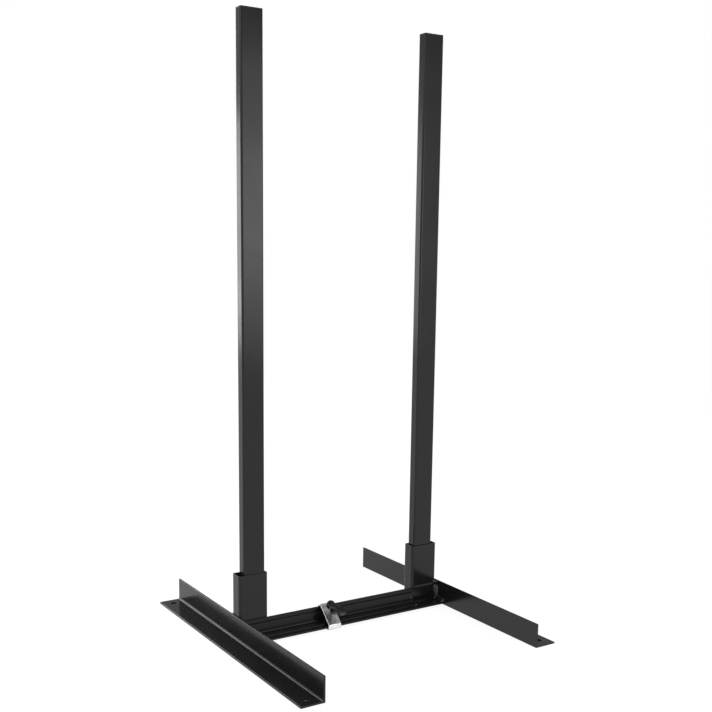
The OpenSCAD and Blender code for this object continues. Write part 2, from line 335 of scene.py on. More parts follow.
def black_paint(name, gloss, dull, peel_depth, dimple_scale, edge_cover, sheen, scuff=None):
    finish, tree, shader = new_finish(name)
    dust = place(tree, dust_group, drift_scale=22.0)["Mask"]
    rubbed = place(tree, rub_group, reach=RUB_REACH, cover=edge_cover)["Mask"]
    smear = place(tree, smear_group, smear_scale=14.0)["Mask"]
    dusted = blend(tree, math_node(tree, "MULTIPLY", dust, DUST_SHOWN), PAINT_BLACK, DUST_GREY)
    colour = blend(tree, math_node(tree, "MULTIPLY", rubbed, RUB_SHOWN), dusted, PAINT_RUBBED)
    roughness = remap(tree, smear, 0.0, 1.0, gloss, dull)
    # Pale flecks near a rail end, partly scuffs and partly painted highlight.
    if scuff:
        bare_and_glint = place(tree, scuff_and_glint_group, start=scuff[0], end=scuff[1])["Mask"]
        colour = blend(tree, bare_and_glint, colour, PAINT_SCUFFED_AND_GLINT)
        duller = math_node(tree, "MULTIPLY", bare_and_glint, SCUFF_DULLS)
        roughness = math_node(tree, "ADD", roughness, duller)
    peel = place(tree, peel_group, dimple_scale=dimple_scale)["Height"]
    wire(tree, shader, Base_Color=colour, Roughness=roughness,
         Normal=bumped(tree, peel, peel_depth), Specular_IOR_Level=sheen)
    return finish


print("black paint ready, colour", PAINT_BLACK[:3])

# %% [markdown]
# The bars share one coat. The rails shine a little less and have pale flecks at their ends:
# partly scuffs, as rails that slide on each other have, and partly painted highlight. The welds,
# which are rough under the paint, have a coarser skin and catch more light.

# %% Coats of the steel
SCUFF_LENGTH = 16 * MM
BAR_COAT = {"gloss": 0.15, "dull": 0.22, "edge_cover": 0.60,
            "peel_depth": 0.004 * MM, "dimple_scale": 420.0}
WELD_COAT = {"gloss": 0.16, "dull": 0.26, "edge_cover": 0.30,
             "peel_depth": 0.03 * MM, "dimple_scale": 900.0}
BAR_SHEEN, RAIL_SHEEN, WELD_SHEEN = 0.30, 0.20, 0.75

inner_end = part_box("inner_rail")[1].x
outer_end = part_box("outer_rail")[0].x
# The pale flecks lie over the last part of each rail: partly scuffs, partly painted highlight.
inner_scuff_and_glint = (inner_end - SCUFF_LENGTH, inner_end)
outer_scuff_and_glint = (outer_end + SCUFF_LENGTH, outer_end)
steel_paint = black_paint("steel_paint", **BAR_COAT, sheen=BAR_SHEEN)
inner_paint = black_paint("inner_rail_paint", **BAR_COAT, sheen=RAIL_SHEEN, scuff=inner_scuff_and_glint)
outer_paint = black_paint("outer_rail_paint", **BAR_COAT, sheen=RAIL_SHEEN, scuff=outer_scuff_and_glint)
weld_paint = black_paint("weld_paint", **WELD_COAT, sheen=WELD_SHEEN)
print("finishes:", steel_paint.name, inner_paint.name, outer_paint.name, weld_paint.name)

# %% [markdown]
# ## Finish: moulded black plastic
# Plugs and knob are moulded, with the fine leather-like grain that hides scratches in such a
# mould. Modelled grain would need millions of points, so it is a Voronoi pattern in the bump.
# The gloss is lower than the paint's, and the high spots of the knob are polished a little by
# fingers.

# %% Black plastic
PLASTIC_BLACK = (0.0065, 0.0065, 0.0068, 1.0)
PLASTIC_POLISHED = (0.015, 0.015, 0.0155, 1.0)
PLASTIC_SHEEN = 0.45
POLISH_REACH = 2.5 * MM


def black_plastic(name, grain_scale, grain_depth, gloss, dull):
    finish, tree, shader = new_finish(name)
    spot = put(tree, "ShaderNodeTexCoord").outputs["Object"]
    grain = {"Vector": spot, "Scale": grain_scale}
    cells = put(tree, "ShaderNodeTexVoronoi", grain, feature="SMOOTH_F1").outputs["Distance"]
    polished = place(tree, rub_group, reach=POLISH_REACH, cover=0.6)["Mask"]
    smear = place(tree, smear_group, smear_scale=60.0)["Mask"]
    colour = blend(tree, polished, PLASTIC_BLACK, PLASTIC_POLISHED)
    wire(tree, shader, Base_Color=colour, Roughness=remap(tree, smear, 0.0, 1.0, gloss, dull),
         Normal=bumped(tree, cells, grain_depth), Specular_IOR_Level=PLASTIC_SHEEN)
    return finish


plug_plastic = black_plastic(
    "plug_plastic", grain_scale=1600.0, grain_depth=0.04 * MM, gloss=0.42, dull=0.55)
knob_plastic = black_plastic(
    "knob_plastic", grain_scale=2200.0, grain_depth=0.02 * MM, gloss=0.20, dull=0.30)
print("finishes:", plug_plastic.name, knob_plastic.name)

# %% [markdown]
# ## Finish: zinc plate
# The strap, nut, pad and screw are zinc plated: a pale, cloudy metal. One even grey would pass
# for chrome, so the spangle group drives both the shade and the dullness. Screw, nut and pad take
# the same finish in two darker tones, as painted shade under knob and strap. On the strap the
# normal picks out faces for painted light: its two cut sides are painted dark as painted shade,
# and its front fold, which faces the pale floor, is painted brightest as a painted reflection.

# %% Zinc plate
ZINC_DARK = (0.15, 0.165, 0.18, 1.0)
ZINC_PALE = (0.96, 0.965, 0.97, 1.0)
# Two darker zinc tones for screw, nut and pad: painted shade under knob and strap.
SHADED_SCREW_DARK = (0.030, 0.029, 0.027, 1.0)
SHADED_SCREW_PALE = (0.16, 0.16, 0.155, 1.0)
# Painted shade on the strap's two cut sides.
SIDE_SHADE = (0.035, 0.034, 0.033, 1.0)
# Painted reflection of the pale floor on the strap's front fold.
FRONT_HIGHLIGHT = 0.7
FRONT_HIGHLIGHT_FROM, FRONT_HIGHLIGHT_FULL = -0.85, -0.98
SIDE_SHADE_FROM, SIDE_SHADE_FULL = 0.93, 0.985
ZINC_GLOSS, ZINC_DULL = 0.26, 0.46
ZINC_GRAIN = 1400.0
ZINC_GRAIN_DEPTH = 0.012 * MM


def zinc_plate(name, dark, pale, lit_front_shaded_sides=False):
    finish, tree, shader = new_finish(name)
    spangle = place(tree, spangle_group, cloud_scale=120.0)
    rubbed = place(tree, rub_group, reach=RUB_REACH, cover=0.7)["Mask"]
    colour = blend(tree, spangle["Shade"], dark, pale)
    colour = blend(tree, rubbed, colour, pale)
    if lit_front_shaded_sides:
        normal = put(tree, "ShaderNodeNewGeometry").outputs["Normal"]
        turned = put(tree, "ShaderNodeSeparateXYZ", {0: normal}).outputs
        # Painted reflection: faces that look to the front are painted paler.
        front = remap(tree, turned["Y"], FRONT_HIGHLIGHT_FROM, FRONT_HIGHLIGHT_FULL, 0.0, FRONT_HIGHLIGHT)
        colour = blend(tree, front, colour, pale)
        # Painted shade: faces that look to the sides are painted dark.
        cut = remap(tree, math_node(tree, "ABSOLUTE", turned["X"]), SIDE_SHADE_FROM, SIDE_SHADE_FULL)
        colour = blend(tree, cut, colour, SIDE_SHADE)
    roughness = remap(tree, spangle["Dullness"], 0.0, 1.0, ZINC_GLOSS, ZINC_DULL)
    grain = noise(tree, ZINC_GRAIN, detail=2.0)
    wire(tree, shader, Base_Color=colour, Roughness=roughness,
         Normal=bumped(tree, grain, ZINC_GRAIN_DEPTH), Metallic=1.0)
    return finish


# The strap's zinc carries a painted reflection on its front fold and painted shade on its cut sides.
strap_zinc_with_painted_light = zinc_plate("strap_zinc_with_painted_light", ZINC_DARK, ZINC_PALE, lit_front_shaded_sides=True)
# Screw, nut and pad: zinc in two darker tones as painted shade.
screw_zinc_in_painted_shade = zinc_plate("screw_zinc_in_painted_shade", SHADED_SCREW_DARK, SHADED_SCREW_PALE)
print("finishes:", strap_zinc_with_painted_light.name, screw_zinc_in_painted_shade.name)

# %% [markdown]
# ## Dress the steel and round its edges
# The bars keep the frame's own meshes. A perfectly sharp edge never catches light, and rolled
# or sawn steel always has a small radius, so a Bevel modifier rounds every edge by a few
# tenths of a millimetre. The imported faces don't share corners, so a Weld modifier joins
# them first. Their flats come cut into long thin triangles, which would fold over under a
# bevel, so a Decimate modifier merges each flat before it, and Weighted Normal keeps it flat.

# %% Paint and soften the bars
FINISH_OF = {
    "left_foot": steel_paint, "right_foot": steel_paint, "left_sleeve": steel_paint,
    "right_sleeve": steel_paint, "inner_rail": inner_paint, "outer_rail": outer_paint,
    "left_post": steel_paint, "right_post": steel_paint,
    "left_top_plug": plug_plastic, "right_top_plug": plug_plastic,
    "left_bottom_plug": plug_plastic, "right_bottom_plug": plug_plastic,
    "clamp_nut": screw_zinc_in_painted_shade, "clamp_pad": screw_zinc_in_painted_shade,
}
JOIN_WITHIN = 0.002 * MM
FLAT_WITHIN = 0.2
SHARP_FROM = 40
EDGE_RADIUS = 0.35 * MM
EDGE_SEGMENTS = 3


def soften(piece):
    joined = piece.modifiers.new("joined_faces", "WELD")
    joined.merge_threshold = JOIN_WITHIN
    merged = piece.modifiers.new("merged_flats", "DECIMATE")
    merged.decimate_type = "DISSOLVE"
    merged.angle_limit = math.radians(FLAT_WITHIN)
    rounded = piece.modifiers.new("rounded_edges", "BEVEL")
    rounded.width = EDGE_RADIUS
    rounded.segments = EDGE_SEGMENTS
    rounded.limit_method = "ANGLE"
    rounded.angle_limit = math.radians(SHARP_FROM)
    rounded.use_clamp_overlap = False
    rounded.loop_slide = False
    level = piece.modifiers.new("flat_faces", "WEIGHTED_NORMAL")
    level.mode = "FACE_AREA"
    level.weight = 100


def dress(piece, finish):
    piece.data.materials.clear()
    piece.data.materials.append(finish)


for name, finish in FINISH_OF.items():
    dress(frame["nodes"][name], finish)
    soften(frame["nodes"][name])
print("dressed:", len(FINISH_OF), "pieces of the frame")

# %% [markdown]
# ## A helper for modelled pieces
# Knob, stud, strap and welds are made here as meshes of their own. They could be joined from
# cylinders and cut with booleans, which leaves ragged faces. All of them are rings of points
# that are joined one after another, which is how a lathe or a swept bead works, so one helper
# builds a closed skin from a list of rings, and another turns it into a finished piece.

# %% Ring skin helper
def skin(mesh, rings):
    made = [[mesh.verts.new(point) for point in ring] for ring in rings]
    count = len(made[0])
    for lower, upper in zip(made, made[1:]):
        for i in range(count):
            j = (i + 1) % count
            mesh.faces.new((lower[i], lower[j], upper[j], upper[i]))
    mesh.faces.new(list(reversed(made[0])))
    mesh.faces.new(made[-1])


def finish_piece(name, mesh, finish, body, replaced, smooth_angle):
    bmesh.ops.recalc_face_normals(mesh, faces=mesh.faces)
    data = bpy.data.meshes.new(name)
    mesh.to_mesh(data)
    mesh.free()
    piece = bpy.data.objects.new(name, data)
    bpy.context.scene.collection.objects.link(piece)
    data.shade_smooth()
    data.set_sharp_from_angle(angle=math.radians(smooth_angle))
    dress(piece, finish)
    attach(piece, body)
    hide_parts(replaced)
    print("made:", name, len(data.vertices), "points on", body)


print("skin helper ready")

# %% [markdown]
# ## Weld beads
# A hand-laid fillet weld is a row of overlapping puddles. In section it fills the corner of two
# plates with a face that bulges only a little; along its length it swells and narrows with each
# puddle, and the ripples bow in the direction of travel. A bump map would do from afar, but
# welds show in outline too, so the ripples are modelled: each ring is an arc from plate to
# plate, flattened towards its chord, and its reach follows the ripples. Two slow waves, each
# with a share, a length and a start, stand for an unsteady hand.

# %% Bead rings
RIPPLE = 1.7 * MM
RIPPLE_DEPTH = 0.045
RIPPLE_BOW = 1.1
FLATNESS = 0.7
HAND_WAVES = ((0.03, 5.3 * MM, 0.0), (0.02, 1.9 * MM, 1.0))
END_BLUNT = 0.15
RING_STEP = 0.22 * MM
FEWEST_RINGS = 8
ARC_STEPS = 17
SINK = 0.6 * MM


def bead_radius(run, length, angle, radius):
    bow = RIPPLE_BOW * math.sin(2 * angle)
    flat = 1 - FLATNESS * (1 - 1 / (math.cos(angle) + math.sin(angle)))
    puddle = abs(math.sin(math.pi * (run / RIPPLE + bow)))
    drift = sum(share * math.sin(run / wave + start) for share, wave, start in HAND_WAVES)
    from_end = min(run, length - run) / radius
    taper = math.sqrt(max(0.0, 1 - (1 - min(1.0, END_BLUNT + from_end)) ** 2))
    return radius * taper * flat * (1 - RIPPLE_DEPTH + RIPPLE_DEPTH * puddle + drift)


def bead_ring(corner, first, second, run, length, radius):
    ring = [corner - SINK * (first + second)]
    for k in range(ARC_STEPS):
        angle = 0.5 * math.pi * k / (ARC_STEPS - 1)
        reach = bead_radius(run, length, angle, radius)
        ring.append(corner + reach * (math.cos(angle) * first + math.sin(angle) * second))
    return ring


def straight_bead(mesh, start, end, first, second, radius):
    length = (end - start).length
    steps = max(FEWEST_RINGS, round(length / RING_STEP))
    rings = []
    for i in range(steps + 1):
        corner = start.lerp(end, i / steps)
        rings.append(bead_ring(corner, first, second, length * i / steps, length, radius))
    skin(mesh, rings)


print("one puddle every", RIPPLE / MM, "mm")

# %% [markdown]
# The rails meet the feet in an inside corner with a rounded root. Two straight beads would leave
# a gap in the root, so one bead runs down the upright leg, round the root and out along the
# lying leg. It is a little smaller in the root, where a torch hardly reaches.

# %% Path of a rail bead
ROOT_RADIUS = 3.0 * MM
ROOT_EASE = 2.0 * MM
WELD_LEG = 6.0 * MM
ROOT_WELD = 4.4 * MM


def rail_bead_frames(low, high):
    top, front, root = high.z, low.y, ROOT_RADIUS
    down = top - (low.z + root)
    along = (high.y - root) - front
    arc = 0.5 * math.pi * root
    total = down + arc + along
    frames = []
    steps = round(total / RING_STEP)
    for i in range(steps + 1):
        run = total * i / steps
        if run < down:
            point, inward = (high.y, top - run), (-1.0, 0.0)
        elif run < down + arc:
            angle = (run - down) / root
            inward = (-math.cos(angle), math.sin(angle))
            point = (high.y - root - root * inward[0], low.z + root - root * inward[1])
        else:
            point, inward = (high.y - root - (run - down - arc), low.z), (0.0, 1.0)
        near_root = abs(run - down - 0.5 * arc) / (0.5 * arc + ROOT_EASE)
        radius = ROOT_WELD + (WELD_LEG - ROOT_WELD) * min(1.0, max(0.0, 2 * near_root - 1))
        frames.append((run, total, point, inward, radius))
    return frames


print("rail beads from %.1f to %.1f mm wide" % (ROOT_WELD / MM, WELD_LEG / MM))

# %% [markdown]
# The path lies in the plane of the foot's face, and the bead reaches out of that plane along
# the rail. So each ring spans from the rail's leg to the face, and only the face's place and
# the direction away from it differ between left and right.

# %% Welds on the rail ends
WELD_SMOOTH = 60


def rail_weld(node, foot_x, away, body):
    mesh = bmesh.new()
    rings = []
    for run, total, point, inward, radius in rail_bead_frames(*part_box(node)):
        corner = Vector((foot_x, *point))
        rings.append(bead_ring(corner, Vector((away, 0, 0)), Vector((0, *inward)), run, total, radius))
    skin(mesh, rings)
    finish_piece(node + "_bead", mesh, weld_paint, body, node, WELD_SMOOTH)


left_foot_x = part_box("left_foot")[1].x
right_foot_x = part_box("right_foot")[0].x
rail_weld("left_rail_weld", left_foot_x, 1, "left_base")
rail_weld("right_rail_weld", right_foot_x, -1, "right_base")

# %% [markdown]
# Each sleeve is welded to its foot in front and behind, and the right one also along the top
# edge of the rail and in the corner behind it. These beads are straight. Copies of one bead
# would have to be stretched, so each is made anew, and its height comes from the pieces that
# it joins.

# %% Welds on the sleeves
SLEEVE_CORNER = 4.0 * MM
EDGE_WELD = 1.8 * MM
BEHIND_RISE = 3.0 * MM


def sleeve_welds(side, foot_x, away):
    node = side + "_sleeve_weld"
    sleeve_low, sleeve_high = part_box(side + "_sleeve")
    rail_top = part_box("outer_rail")[1].z
    foot_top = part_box(side + "_foot")[1].z
    mesh = bmesh.new()
    sideways = Vector((away, 0, 0))
    for y, outward, low_z in ((sleeve_low.y, -1, rail_top), (sleeve_high.y, 1, sleeve_low.z)):
        start, end = Vector((foot_x, y, low_z)), Vector((foot_x, y, foot_top))
        straight_bead(mesh, start, end, sideways, Vector((0, outward, 0)), WELD_LEG)
    if side == "right":
        start = Vector((sleeve_low.x + SLEEVE_CORNER, sleeve_low.y, rail_top))
        end = Vector((foot_x, sleeve_low.y, rail_top))
        straight_bead(mesh, start, end, Vector((0, -1, 0)), Vector((0, 0, 1)), EDGE_WELD)
        start = Vector((sleeve_low.x, sleeve_low.y, sleeve_low.z))
        end = Vector((sleeve_low.x, sleeve_low.y, rail_top + BEHIND_RISE))
        straight_bead(mesh, start, end, Vector((-1, 0, 0)), Vector((0, 1, 0)), WELD_LEG)
    finish_piece(node + "_bead", mesh, weld_paint, side + "_base", node, WELD_SMOOTH)


sleeve_welds("left", left_foot_x, 1)
sleeve_welds("right", right_foot_x, -1)

# %% [markdown]
# ## The screw axis
# Knob, stud and strap all sit on one slanted line, which the frame states as the axis of the
# knob's hinge. They could be modelled on the slant, but a matrix that turns Z onto that line
# lets each piece be made upright, as on a lathe, and set in place afterwards. The reach of each
# solid along the line is measured from its own points.

# %% Screw axis
knob_joint = next(joint for joint in frame["joints"] if joint["name"] == "knob_turn")
screw_foot = Vector(knob_joint["pos_m"])
screw_axis = Vector(knob_joint["axis"]).normalized()
screw_turn = Vector((0, 0, 1)).rotation_difference(screw_axis).to_matrix().to_4x4()
on_screw = Matrix.Translation(screw_foot) @ screw_turn


def reach(node):
    along = [(v.co - screw_foot).dot(screw_axis) for v in frame["nodes"][node].data.vertices]
    return min(along), max(along)


print("knob from %.4f to %.4f m along the screw" % reach("knob_head"))

# %% [markdown]
# ## Wing knob
# The knob is one moulding: a fluted hub, and two fat wings that rise to both sides of a saddle.
# Round discs and a bar pushed into each other would leave hard creases, which no mould makes,
# so the outline is worked out angle by angle and averaged over a few degrees. Rings of that
# outline, drawn in towards rim and saddle, then give one soft skin.

# %% Knob outline
WING_AT = 11.0 * MM
WING_RADIUS = 7.0 * MM
BAR_HALF = 5.0 * MM
ROUND_OVER = 6
KNOB_POINTS = 240
NEARLY_ZERO = 0.01


def sharp_outline(degrees):
    across = abs(math.sin(math.radians(degrees)))
    along = abs(math.cos(math.radians(degrees)))
    radius = min(BAR_HALF / max(across, NEARLY_ZERO), WING_AT / max(along, NEARLY_ZERO))
    aside = WING_AT * across
    if aside < WING_RADIUS:
        radius = max(radius, WING_AT * along + math.sqrt(WING_RADIUS ** 2 - aside ** 2))
    return radius


def wing_outline(degrees):
    near = [sharp_outline(degrees + d) for d in range(-ROUND_OVER, ROUND_OVER + 1)]
    return sum(near) / len(near)


knob_turns = [360 * i / KNOB_POINTS for i in range(KNOB_POINTS)]
winged = [wing_outline(degrees) for degrees in knob_turns]
print("knob outline from %.1f to %.1f mm" % (min(winged) / MM, max(winged) / MM))

# %% [markdown]
# Hub and wings have to grow into each other. A boolean union would leave a crease between them.
# Here the skin turns outward into the rounded underside of a wing where the outline lies outside
# the hub, and draws in over a sloped shoulder where it lies inside. A share between 0 and 1
# leads from one to the other.

# %% Knob heights
HUB_RADIUS = 8.25 * MM
WING_CLEAR = 12.0 * MM
RIM_ROUND = 3.0 * MM
RIM_SHARE = 0.45
SADDLE = 2.4 * MM
END_DROP = 0.8 * MM


def soft_step(value):
    value = min(1.0, max(0.0, value))
    return value * value * (3 - 2 * value)


def crown(along):
    dip = max(0.0, 1 - (along / WING_AT) ** 2)
    past = max(0.0, (abs(along) - WING_AT) / WING_RADIUS)
    return -SADDLE * dip - END_DROP * past ** 2


def crown_heights(top, radii):
    return [top + crown(r * math.cos(math.radians(d))) for r, d in zip(radii, knob_turns)]


wing_share = [soft_step((radius - HUB_RADIUS) / (WING_CLEAR - HUB_RADIUS)) for radius in winged]
rim_inset = [min(RIM_ROUND, RIM_SHARE * radius) for radius in winged]
print("saddle", SADDLE / MM, "mm deep")

# %% [markdown]
# A ring of the knob is a radius and a height for each angle. Every rounding is a quarter circle
# in a few steps, so one helper gives its sines and cosines. The hub starts inside its bore,
# turns over a small rounding and climbs in flutes to where the wings begin.

# %% Knob hub
WING_ANGLE = 138
HUB_ROUND = 0.8 * MM
HUB_STEPS = 4
BORE_RADIUS = 4.1 * MM
BORE_SHOWN = 3.0 * MM
FLUTES = 20
FLUTE_DEPTH = 0.3 * MM
FLUTE_START = 1.6 * HUB_ROUND
NECK_IN = 0.1 * MM
NECK_RISE = 0.5 * HUB_ROUND
SHOULDER = 4.6 * MM


def quarter(steps):
    angles = [0.5 * math.pi * k / steps for k in range(steps + 1)]
    return [(math.sin(angle), math.cos(angle)) for angle in angles]


def knob_ring(radii, heights):
    ring = []
    for degrees, radius, height in zip(knob_turns, radii, heights):
        angle = math.radians(degrees + WING_ANGLE)
        ring.append(on_screw @ Vector((radius * math.cos(angle), radius * math.sin(angle), height)))
    return ring


def round_ring(radius, height):
    return knob_ring([radius] * KNOB_POINTS, [height] * KNOB_POINTS)


def hub_rings(base, under):
    flutes = [0.5 - 0.5 * math.cos(math.radians(FLUTES * degrees)) for degrees in knob_turns]
    grooved = [HUB_RADIUS - FLUTE_DEPTH * flute for flute in flutes]
    tops = [under - HUB_ROUND + SHOULDER * (1 - share) for share in wing_share]
    rings = [round_ring(BORE_RADIUS, base + BORE_SHOWN), round_ring(BORE_RADIUS, base)]
    for s, c in quarter(HUB_STEPS):
        rings.append(round_ring(HUB_RADIUS - HUB_ROUND * (1 - s), base + HUB_ROUND * (1 - c)))
    rings.append(knob_ring(grooved, [base + FLUTE_START] * KNOB_POINTS))
    rings.append(knob_ring(grooved, tops))
    rings.append(knob_ring([HUB_RADIUS - NECK_IN] * KNOB_POINTS, [z + NECK_RISE for z in tops]))
    return rings


print("hub with", FLUTES, "flutes")

# %% [markdown]
# The wings take over from the hub: a quarter circle turns their underside outwards, another
# turns their rim over, and smaller and smaller rings then close the crown over the saddle.

# %% Knob wings
HUB_LENGTH = 4.0 * MM
SHOULDER_EASE = 0.4 * MM
ROUND_STEPS = 7
CROWN_STEPS = 9
CROWN_OPEN = 0.3
MOULD_SMOOTH = 50


def wing_rings(under, top):
    rings = []
    for s, c in quarter(ROUND_STEPS):
        radii = [r - share * RIM_ROUND * (1 - s) for r, share in zip(winged, wing_share)]
        shoulder = SHOULDER + SHOULDER_EASE * (1 - c)
        heights = [under + share * RIM_ROUND * (1 - c) + (1 - share) * shoulder for share in wing_share]
        rings.append(knob_ring(radii, heights))
    tops = crown_heights(top, winged)
    for s, c in quarter(ROUND_STEPS):
        radii = [r - inset * (1 - c) for r, inset in zip(winged, rim_inset)]
        rings.append(knob_ring(radii, [z - inset * (1 - s) for z, inset in zip(tops, rim_inset)]))
    for k in range(1, CROWN_STEPS + 1):
        left = 1 - k / (CROWN_STEPS + CROWN_OPEN)
        radii = [(r - inset) * left for r, inset in zip(winged, rim_inset)]
        rings.append(knob_ring(radii, crown_heights(top, radii)))
    return rings


knob_base, knob_top = reach("knob_head")
wing_base = knob_base + HUB_LENGTH
mesh = bmesh.new()
skin(mesh, hub_rings(knob_base, wing_base) + wing_rings(wing_base, knob_top))
finish_piece("wing_knob", mesh, knob_plastic, "knob", "knob_head", MOULD_SMOOTH)

# %% [markdown]
# ## Threaded stud
# Between strap and hub a few turns of thread show. A Screw modifier could wind a profile up the
# stud, but its ends would stay open. Here a right-hand thread climbs as it turns, because the
# radius of each point depends on its height less the share of a turn at which it lies. A short
# plain pin ends the stud, where it turns in the pad.

# %% Stud with its thread
PITCH = 1.25 * MM
STUD_RADIUS = 4.0 * MM
THREAD_DEPTH = 0.7 * MM
THREAD_PLAY = 0.05 * MM
CREST_HALF = 0.08
FLANK_SHARE = 0.33
PIN_RADIUS = 2.5 * MM
PIN_LENGTH = 3.4 * MM
STUD_POINTS = 36
STEPS_PER_TURN = 8
STUD_SMOOTH = 50


def thread_radius(z, share):
    phase = (z / PITCH - share) % 1.0
    flank = min(1.0, max(0.0, (abs(phase - 0.5) - CREST_HALF) / FLANK_SHARE))
    return STUD_RADIUS - THREAD_PLAY - THREAD_DEPTH * flank


def pin_radius(z, share):
    return PIN_RADIUS


def stud_ring(z, radius_at):
    ring = []
    for i in range(STUD_POINTS):
        share = i / STUD_POINTS
        radius = radius_at(z, share)
        angle = 2 * math.pi * share
        ring.append(on_screw @ Vector((radius * math.cos(angle), radius * math.sin(angle), z)))
    return ring


stud_low, stud_high = reach("knob_screw")
pin_top = stud_low + PIN_LENGTH
turns = (stud_high - pin_top) / PITCH
rings = [stud_ring(z, pin_radius) for z in (stud_low, pin_top)]
for k in range(round(turns * STEPS_PER_TURN) + 1):
    rings.append(stud_ring(pin_top + k * PITCH / STEPS_PER_TURN, thread_radius))
mesh = bmesh.new()
skin(mesh, rings)
# The stud takes the darker zinc tones, painted shade under the knob.
finish_piece("threaded_stud", mesh, screw_zinc_in_painted_shade, "knob", "knob_screw", STUD_SMOOTH)

# %% [markdown]
# ## Clamp strap
# The strap is a strip of sheet folded four times: a hook behind the top edge of the rail, a
# bridge slanted by 45 degrees that carries the screw, and a hook under the front edge. A Solidify
# modifier could thicken a bent line, but sheet can't be folded to a knife edge, so each fold is
# an arc. Outer and inner skin share the centre of each arc, which keeps the sheet equally thick
# all the way round.

# %% Strap outline
STRAP_THICKNESS = 3.0 * MM
HOOK_LENGTH = 12.0 * MM
FOLD_RADIUS = 3.2 * MM
FOLD_STEPS = 6

strap_low, strap_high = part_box("clamp_strap")
bridge = reach("clamp_strap")[1] * math.sqrt(2)
rise_y = screw_foot.y + (strap_high.z - screw_foot.z) - bridge
rise_z = screw_foot.z + bridge - (screw_foot.y - strap_low.y)
strap_corners = [Vector(point) for point in (
    (strap_high.y, strap_high.z - HOOK_LENGTH), (strap_high.y, strap_high.z), (rise_y, strap_high.z),
    (strap_low.y, rise_z), (strap_low.y, strap_low.z), (strap_low.y + HOOK_LENGTH, strap_low.z))]


def inside(direction):
    return Vector((-direction.y, direction.x))


def folded(corners, radius, thickness):
    outer = [corners[0]]
    inner = [corners[0] + thickness * inside((corners[1] - corners[0]).normalized())]
    for before, corner, after in zip(corners, corners[1:], corners[2:]):
        first, second = inside((corner - before).normalized()), inside((after - corner).normalized())
        middle = (first + second).normalized()
        centre = corner + middle * radius / middle.dot(first)
        for k in range(FOLD_STEPS + 1):
            spoke = first.slerp(second, k / FOLD_STEPS)
            outer.append(centre - spoke * radius)
            inner.append(centre - spoke * (radius - thickness))
    outer.append(corners[-1])
    inner.append(corners[-1] + thickness * inside((corners[-1] - corners[-2]).normalized()))
    return outer, inner


strap_outer, strap_inner = folded(strap_corners, FOLD_RADIUS, STRAP_THICKNESS)
print("strap outline:", len(strap_outer), "points a side")

# %% [markdown]
# The long edges were ground round on the outside, deeper than wide, and only broken on the
# inside. A Bevel modifier would round both alike, so the strap is swept sideways in sections,
# and each section near an edge is thinner.

# %% Strap body
EDGE_WIDE = 1.3 * MM
EDGE_DEEP = 2.2 * MM
EDGE_INSIDE = 0.2 * MM
EDGE_STEPS = 8
STRAP_SMOOTH = 50


def strap_section(x, outside, within):
    ring = []
    for outer, inner in zip(strap_outer, strap_inner):
        through = (inner - outer).normalized()
        ring.append(Vector((x, *(outer + through * outside))))
    for outer, inner in zip(reversed(strap_outer), reversed(strap_inner)):
        through = (inner - outer).normalized()
        ring.append(Vector((x, *(inner - through * within))))
    return ring


ground = [(EDGE_WIDE * (1 - c), EDGE_DEEP * (1 - s), EDGE_INSIDE * (1 - s))
          for s, c in quarter(EDGE_STEPS)]
sections = [strap_section(strap_low.x + step, *inset) for step, *inset in ground]
sections += [strap_section(strap_high.x - step, *inset) for step, *inset in reversed(ground)]
mesh = bmesh.new()
skin(mesh, sections)
finish_piece("folded_strap", mesh, strap_zinc_with_painted_light, "clamp", "clamp_strap", STRAP_SMOOTH)

# %% [markdown]
# ## Studio floor
# The photograph is cut out on white. A white floor lit hard enough to be white would flood the
# paint with light, so the floor stays a plain pale one and is shown as white to the camera and
# in reflections by the Light Path node, with a share of its own shading left in to keep the
# shadow of the stand. The floor inside a bolt hole lies in deep shade: the record says where the
# holes are, and the Ambient Occlusion node says whether a foot still stands there.

# %% Shade in the bolt holes
SHADE_REACH = 8 * MM
SHADE_MARGIN = 1.5 * MM
OPEN_FLOOR, COVERED_FLOOR = 0.98, 0.75


def in_bolt_hole(tree):
    spot = put(tree, "ShaderNodeNewGeometry").outputs["Position"]
    in_any = 0.0
    for mount in frame["record"]["mounts"]:
        if mount["kind"] == "bolt_pattern":
            x, y = mount["pos_m"][:2]
            radius = mount["dims"]["hole_r_mm"] * MM + SHADE_MARGIN
            for end in (-0.5, 0.5):
                centre = (x, y + end * mount["dims"]["spacing_y_mm"] * MM, 0.0)
                away = put(tree, "ShaderNodeVectorMath", {0: spot, 1: centre}, operation="DISTANCE")
                in_this = math_node(tree, "LESS_THAN", away.outputs["Value"], radius)
                in_any = math_node(tree, "MAXIMUM", in_any, in_this)
    return in_any


def hole_shade(tree):
    sky = put(tree, "ShaderNodeAmbientOcclusion", {"Distance": SHADE_REACH}, samples=16).outputs["AO"]
    under_foot = remap(tree, sky, OPEN_FLOOR, COVERED_FLOOR)
    return math_node(tree, "MULTIPLY", under_foot, in_bolt_hole(tree))


print("shade reaches", SHADE_REACH / MM, "mm")

# %% [markdown]
# The floor then has two faces. Light that falls on it and bounces on meets the plain pale one.
# What looks at it directly, be it the camera or a mirror image, meets a glow with a thin veil
# of the pale floor, in which the shadow shows.

# %% Floor
WHITE = (1.0, 1.0, 1.0, 1.0)
FLOOR_PALE = (0.86, 0.86, 0.86, 1.0)
VEIL_PALE = (0.18, 0.18, 0.18, 1.0)
SHOWN_GLOW = 0.902
FLOOR_SIZE = 60.0
FLOOR_DROP = 0.2 * MM


